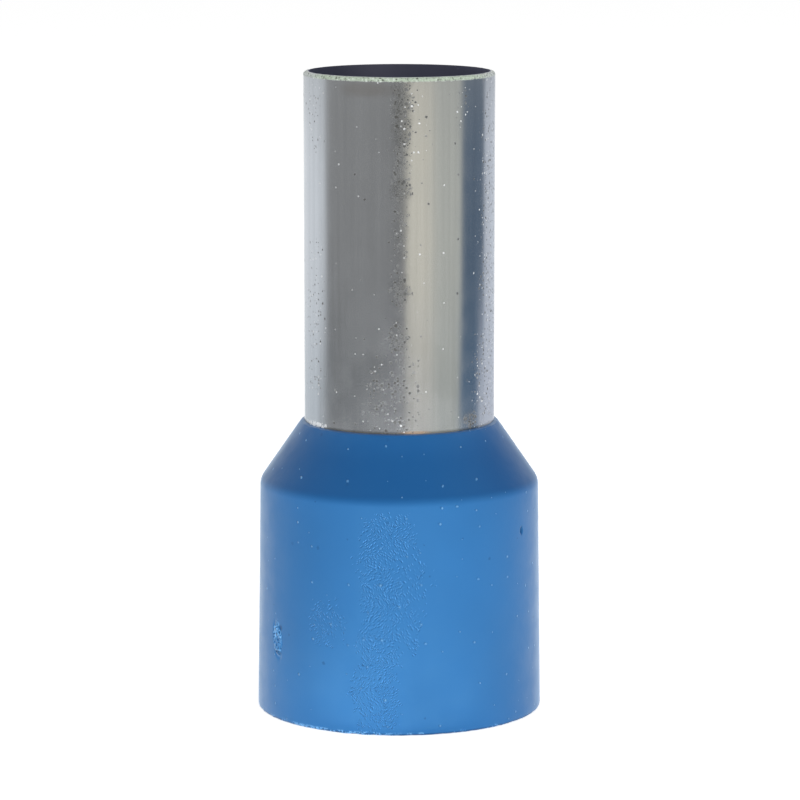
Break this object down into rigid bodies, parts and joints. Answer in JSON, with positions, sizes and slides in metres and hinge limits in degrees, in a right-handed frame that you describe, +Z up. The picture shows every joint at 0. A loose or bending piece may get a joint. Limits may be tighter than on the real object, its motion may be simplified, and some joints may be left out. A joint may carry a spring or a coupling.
{
  "type": "wire ferrule",
  "caption": "Wire-end ferrule: a thin plated copper tube, flared inside and seated in a stepped, funnel-shouldered plastic collar that takes the wire's insulation.",
  "frame": {"origin": "on the ferrule's axis, in the plane of the collar's mouth, on which it stands", "axes": "+Z up the axis, from the collar's mouth to the sleeve's tip; the gate mark on the collar lies between -X and -Y"},
  "size_m": [0.0164, 0.0164, 0.0367],
  "materials": {
    "plated_sleeve": "thin bright tin plating on soft copper, slightly hazy, with fine lengthwise drawing marks",
    "blue_collar": "moulded thermoplastic with a low sheen and a faint wrinkle in places"
  },
  "bodies": {
    "root": {"metal_sleeve": "plated_sleeve", "insulating_collar": "blue_collar"}
  },
  "joints": []
}
